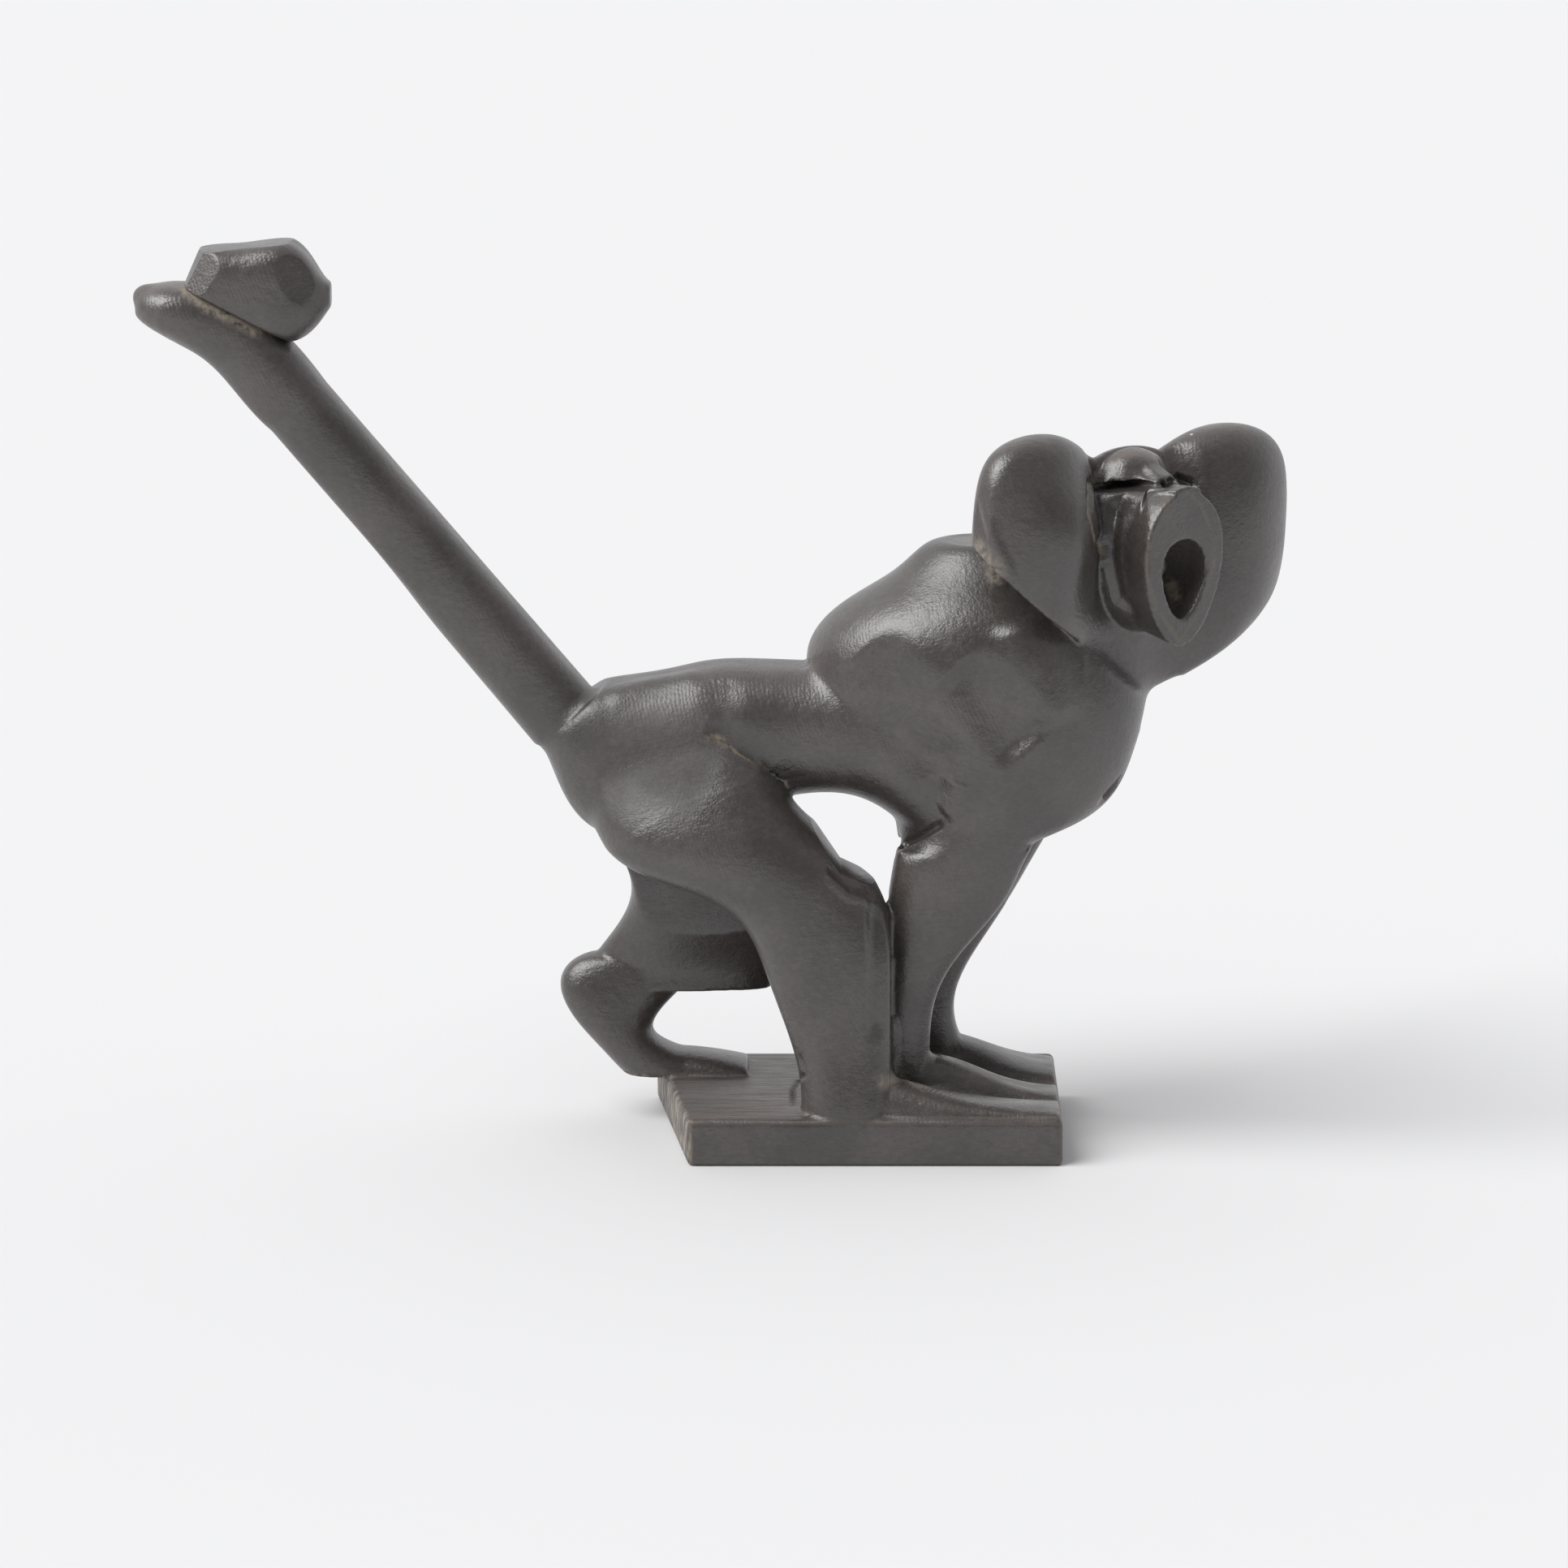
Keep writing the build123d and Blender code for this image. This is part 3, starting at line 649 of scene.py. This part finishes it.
def cutter(corners, near_side, far_side):
    """A block whose side outline is given by corners (x, z) in mm, between two values of y."""
    block = bmesh.new()
    ring = [block.verts.new(Vector((x, near_side, z)) * MM) for x, z in corners]
    face = block.faces.new(ring)
    grown = bmesh.ops.extrude_face_region(block, geom=[face])["geom"]
    moved = [item for item in grown if isinstance(item, bmesh.types.BMVert)]
    bmesh.ops.translate(block, verts=moved, vec=Vector((0.0, far_side - near_side, 0.0)) * MM)
    bmesh.ops.recalc_face_normals(block, faces=block.faces)
    return block


def muzzle_cutter():
    """An oval block round the muzzle, from its root forwards."""
    block = bmesh.new()
    bmesh.ops.create_cone(block, cap_ends=True, segments=64, radius1=MM, radius2=MM,
                          depth=MUZZLE_DEPTH * MM)
    bmesh.ops.scale(block, verts=block.verts, vec=(MUZZLE_ROOM[1], MUZZLE_ROOM[0], 1.0))
    bmesh.ops.rotate(block, verts=block.verts, matrix=Matrix.Rotation(pi / 2.0, 3, "Y"))
    bmesh.ops.translate(block, verts=block.verts, vec=((MUZZLE_START + MUZZLE_DEPTH / 2.0) * MM, 0.0, 0.0))
    bmesh.ops.transform(block, verts=block.verts, matrix=HEAD_PLACE)
    return block


def taken_out(skin, block):
    """The part of a skin inside a cutter block, and the rest of it."""
    whole = put("whole", skin)
    tool = put("tool", block)
    parts = []
    for way in ("INTERSECT", "DIFFERENCE"):
        cut = whole.modifiers.new(way, "BOOLEAN")
        cut.operation = way
        cut.object = tool
        cut.solver = "MANIFOLD"
        parts.append(after_modifiers(whole))
        whole.modifiers.remove(cut)
    drop(whole)
    drop(tool)
    return parts


skins = {"tail_tuft": tuft}
body, skins["plinth"] = halves(figure, PLINTH_CUT, LEVEL)
skins["tail"], body = halves(body, TAIL_JOINT, TAIL_WAY)
head, body = halves(body, NECK, NECK_WAY)
skins["right_hind_leg"], body = taken_out(body, cutter(RIGHT_LEG_SIDE, *RIGHT_LEG_DEPTH))
skins["left_hind_leg"], body = taken_out(body, cutter(LEFT_LEG_SIDE, *LEFT_LEG_DEPTH))
skins["torso"], arms = halves(body, SHOULDER, LEVEL)
skins["left_fore_leg"], skins["right_fore_leg"] = halves(arms, Vector((0.0, 0.0, 0.0)), ACROSS)
side = HEAD_PLACE.to_3x3() @ ACROSS
joint = HEAD_PLACE.to_3x3() @ Vector((0.0, LOBE_JOINT * MM, 0.0))
skins["left_ruff_lobe"], head = halves(head, HEAD_PLACE.translation + joint, side)
skins["right_ruff_lobe"], head = halves(head, HEAD_PLACE.translation - joint, -side)
skins["muzzle"], skins["head"] = taken_out(head, muzzle_cutter())
for name, skin in skins.items():
    for chip in shells(skin)[1:]:
        bmesh.ops.delete(skin, geom=chip, context="VERTS")
    print(name, len(skin.faces), "faces")

# %% [markdown]
# ## Writing finishes
# A finish is a web of nodes, and drawing it node by node hides the thought behind it. Two small classes
# let it be written as sums instead: a Wire stands for the value on one socket and turns + - * into Math
# nodes, and a Finish holds the material and makes every other kind of node.

# %% Two small classes for finishes
class Wire:
    """The value on one socket of a finish, which can be used in sums."""

    def __init__(self, finish, socket):
        self.finish = finish
        self.socket = socket

    def sum(self, operation, first, second):
        return self.finish.node("ShaderNodeMath", {"operation": operation}, {0: first, 1: second})

    def __add__(self, other):
        return self.sum("ADD", self, other)

    def __radd__(self, other):
        return self.sum("ADD", other, self)

    def __sub__(self, other):
        return self.sum("SUBTRACT", self, other)

    def __rsub__(self, other):
        return self.sum("SUBTRACT", other, self)

    def __mul__(self, other):
        return self.sum("MULTIPLY", self, other)

    def __rmul__(self, other):
        return self.sum("MULTIPLY", other, self)

    def clipped(self):
        """The value held between 0 and 1."""
        return self.finish.node("ShaderNodeClamp", {}, {"Value": self})


class Finish:
    """A material in the making."""

    def __init__(self, name, fixed):
        self.material = bpy.data.materials.new(name)
        self.material.use_nodes = True
        self.shader = self.material.node_tree.nodes["Principled BSDF"]
        self.set(fixed)
        self.place = self.node("ShaderNodeTexCoord", {}, {}, "Object")

    def set(self, values):
        """Feed the shader's sockets by their names."""
        for name, value in values.items():
            self.feed(self.shader.inputs[name], value)

    def feed(self, socket, value):
        if isinstance(value, Wire):
            self.material.node_tree.links.new(value.socket, socket)
        else:
            socket.default_value = value

    def node(self, kind, settings, inputs, output=0):
        """A new node: its settings first, then the values or wires of its sockets."""
        made = self.material.node_tree.nodes.new(kind)
        for name, value in settings.items():
            setattr(made, name, value)
        for name, value in inputs.items():
            self.feed(made.inputs[name], value)
        return Wire(self, made.outputs[output])

    def noted(self, name):
        """A value that was noted on the skin: relief, dust, rubbed wear with the painted highlight on the
        muzzle rim, or dull.
        """
        return self.node("ShaderNodeAttribute", {"attribute_name": name}, {}, "Fac")

    def stretched(self, per_metre, turn=(0.0, 0.0, 0.0)):
        """The place on the piece, with so many pattern lengths to the metre each way."""
        inputs = {"Vector": self.place, "Rotation": turn, "Scale": per_metre}
        return self.node("ShaderNodeMapping", {}, inputs)

    def noise(self, per_metre, detail=3.0):
        spot = self.stretched(per_metre)
        return self.node("ShaderNodeTexNoise", {}, {"Vector": spot, "Scale": 1.0, "Detail": detail})

    def mix(self, share, first, second):
        """One colour laid over another by a share."""
        return self.node("ShaderNodeMix", {"data_type": "RGBA"}, {0: share, 6: first, 7: second}, 2)


print("finishes can be written as sums now")

# %% [markdown]
# ## Stained wood
# The stain is nearly black and a little warm, thinner along the fine pores, which run the length of the
# figure. Rasp marks less than a millimetre apart catch the light where the wax is thick. Raised edges
# are rubbed brown, and pale dust sits in the creases. Along the rim of the muzzle the same brown is a
# painted highlight, lighter where the rounded rim would catch the light. All of it is worked out from
# the place on the wood and from what was noted on the skin, so it stays on the wood from every side. An
# image could not do that without a seam.

# %% Stain, rasp marks, wear and dust
STAIN_DARK = (0.0405, 0.0342, 0.0315, 1.0)
STAIN_THIN = (0.110, 0.0940, 0.0865, 1.0)
# Brown of rubbed edges; on the rim of the muzzle the same colour is a painted highlight.
RUBBED_AND_HIGHLIGHT = (0.165, 0.122, 0.092, 1.0)
DUST = (0.36, 0.305, 0.235, 1.0)
SPECK = (0.62, 0.60, 0.56, 1.0)
WAX = 1.0
RASP_SCALE = 480.0
BUMP_DEPTH = 0.12
WOOD_BUMP = 0.6


def stained(name):
    """The stained finish with its colour, roughness and height still free to be changed."""
    finish = Finish(name, {"Specular IOR Level": WAX})
    relief = finish.noted("relief")
    cloud = finish.noise((55.0, 70.0, 70.0), 4.0)
    patch = finish.noise((160.0, 160.0, 160.0), 3.0)
    pores = finish.noise((700.0, 2600.0, 2600.0), 3.0)
    fine = finish.noise((2600.0, 2600.0, 2600.0), 3.0)
    grain = finish.noise((900.0, 900.0, 900.0), 4.0)
    # Rubbed edges from the relief and the wear notes; the note along the muzzle rim makes part of this a
    # painted highlight.
    edge = ((relief - 0.10) * 6.0).clipped() + finish.noted("worn_and_highlight")
    crease = ((-0.12 - relief) * 4.0).clipped()
    thin = ((cloud - 0.35) * 1.3 + (pores - 0.5) * 0.6 + (grain - 0.5) * 0.6).clipped()
    colour = finish.mix(thin, STAIN_DARK, STAIN_THIN)
    colour = finish.mix((edge * (patch * 2.4 - 0.75)).clipped() * 0.6, colour, RUBBED_AND_HIGHLIGHT)
    dusty = ((crease + finish.noted("dust") * 1.6) * (grain * 2.6 - 0.75)).clipped()
    colour = finish.mix(dusty * 0.6, colour, DUST)
    cells = finish.stretched((130.0, 130.0, 130.0))
    far = finish.node("ShaderNodeTexVoronoi", {}, {"Vector": cells, "Scale": 1.0}, "Distance")
    specks = ((0.045 - far) * 60.0).clipped() * ((patch - 0.52) * 20.0).clipped()
    colour = finish.mix(specks * 0.8, colour, SPECK)
    rasp_place = finish.stretched((1.0, 1.0, 1.0), (0.0, radians(25.0), radians(20.0)))
    rasp_shape = {"Vector": rasp_place, "Scale": RASP_SCALE, "Distortion": 5.0, "Detail": 2.0,
                  "Detail Scale": 0.6}
    rasp = finish.node("ShaderNodeTexWave", {"bands_direction": "X"}, rasp_shape, 1)
    rasped = ((cloud - 0.45) * 4.0).clipped()
    roughness = 0.34 + (patch - 0.5) * 0.25 + (fine - 0.5) * 0.2 + dusty * 0.4 + finish.noted("dull") * 0.4
    height = fine * 0.8 + grain * 1.2 + pores * 0.4 + rasp * rasped * 0.25 + patch * 1.6
    return finish, colour, roughness, height


def close(finish, colour, roughness, height, strength):
    """Join the parts of a finish to its shader."""
    inputs = {"Strength": strength, "Distance": BUMP_DEPTH * MM, "Height": height}
    bump = finish.node("ShaderNodeBump", {}, inputs)
    finish.set({"Base Color": colour, "Roughness": roughness.clipped(), "Normal": bump})
    return finish.material


stained_wood = close(*stained("stained_wood"), WOOD_BUMP)
print("stained wood has", len(stained_wood.node_tree.nodes), "nodes")

# %% [markdown]
# ## Plinth
# The plinth has the same stain, but its top was left rough from the chisel and its rear end is sawn
# across the grain, where the stain has worn off in pale flecks. Both places are found from the place on
# the wood: the top by its height, the end by its distance from the plane of the saw cut.

# %% Rough top and pale end of the plinth
PLINTH_TOP = 8.0
END_PLACE = 35.0
END_SLOPE = 0.125
PLINTH_BUMP = 0.5

finish, colour, roughness, height = stained("plinth_wood")
parts = finish.node("ShaderNodeSeparateXYZ", {}, {"Vector": finish.place})
x_part = parts
y_part = Wire(finish, parts.socket.node.outputs[1])
z_part = Wire(finish, parts.socket.node.outputs[2])
from_end = x_part * (1.0 / MM) + END_PLACE + y_part * (END_SLOPE / MM)
sawn = (0.9 - from_end).clipped()
top = ((z_part * (1.0 / MM) - (PLINTH_TOP - 0.7)) * 3.0).clipped()
flecks = finish.noise((900.0, 900.0, 300.0), 4.0)
chisel = finish.noise((90.0, 700.0, 700.0), 3.0)
colour = finish.mix((sawn * (flecks * 6.0 - 2.7)).clipped() * 0.7, colour, DUST)
colour = finish.mix((top * (chisel * 2.6 - 0.9)).clipped() * 0.35, colour, RUBBED_AND_HIGHLIGHT)
height = height + top * chisel * 7.0 + sawn * flecks * 5.0
plinth_wood = close(finish, colour, roughness + top * 0.15 + sawn * 0.25, height, PLINTH_BUMP)
print("plinth wood has", len(plinth_wood.node_tree.nodes), "nodes")

# %% [markdown]
# ## Dowels
# The dowels are bare turned rods inside the joints. They never show, but they are still wood, with a
# straight grain.

# %% Bare dowel wood
BARE_DARK = (0.50, 0.36, 0.22, 1.0)
BARE_PALE = (0.68, 0.54, 0.37, 1.0)
dowel = Finish("dowel_wood", {"Roughness": 0.6})
streaks = dowel.noise((1500.0, 1500.0, 200.0), 3.0)
dowel.set({"Base Color": dowel.mix(streaks, BARE_DARK, BARE_PALE)})
for name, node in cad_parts.items():
    if "dowel" in name:
        for slot in node.material_slots:
            slot.material = dowel.material
print("dowels finished:", [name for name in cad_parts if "dowel" in name])

# %% [markdown]
# ## Fitting
# Each part of the skin becomes one piece that stands for its blank and takes the finish of the stained
# wood. The faces are shaded smooth, as sanded wood is, and only the edges of the glue joints stay
# sharp.

# %% Fit the pieces
SHARP = radians(60)

for name, skin in skins.items():
    for face in skin.faces:
        face.smooth = True
    piece = put("carved_" + name, skin)
    piece.data.set_sharp_from_angle(angle=SHARP)
    piece.data.materials.append(plinth_wood if name == "plinth" else stained_wood)
    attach(piece, "root")
    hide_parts(name)
print("fitted", len(skins), "pieces")

# %% [markdown]
# ## Floor and light
# The carving stands on a wide pale floor. The world is bright behind it, like a white backdrop, and dim
# in front, so that the edges of the dark wood catch the light. One large soft light from the upper left
# in front draws the highlights and a weak shadow on the right.

# %% Floor and light
FRONT_GLOW = 0.18
BACK_GLOW = 1.0
GLOW_SPREAD = (-0.6, 0.8)
BACKDROP = (0.985, 0.985, 1.0, 1.0)
FLOOR_REACH = 12.0
FLOOR_GREY = (0.72, 0.72, 0.725, 1.0)
KEY_FROM = Vector((-0.8, -0.4, 1.0))
KEY_ENERGY = 3.0
KEY_ANGLE = radians(48)

board = bmesh.new()
bmesh.ops.create_grid(board, x_segments=1, y_segments=1, size=FLOOR_REACH)
floor = put("floor", board)
pale = Finish("pale_floor", {"Base Color": FLOOR_GREY, "Roughness": 0.9})
floor.data.materials.append(pale.material)

sky = bpy.data.worlds.new("studio")
sky.use_nodes = True
web = sky.node_tree
backdrop = web.nodes["Background"]
backdrop.inputs["Color"].default_value = BACKDROP
look = web.nodes.new("ShaderNodeTexCoord")
parts = web.nodes.new("ShaderNodeSeparateXYZ")
share = web.nodes.new("ShaderNodeMapRange")
glow = {"From Min": GLOW_SPREAD[0], "From Max": GLOW_SPREAD[1], "To Min": FRONT_GLOW, "To Max": BACK_GLOW}
for socket, value in glow.items():
    share.inputs[socket].default_value = value
web.links.new(look.outputs["Generated"], parts.inputs["Vector"])
web.links.new(parts.outputs["Y"], share.inputs["Value"])
web.links.new(share.outputs["Result"], backdrop.inputs["Strength"])
scene.world = sky

key = bpy.data.lights.new("key", "SUN")
key.energy = KEY_ENERGY
key.angle = KEY_ANGLE
key_object = bpy.data.objects.new("key", key)
key_object.rotation_euler = KEY_FROM.to_track_quat("Z", "Y").to_euler()
scene.collection.objects.link(key_object)
scene.view_settings.view_transform = "Standard"
print("one soft light over a floor of", floor.dimensions.x, "m")
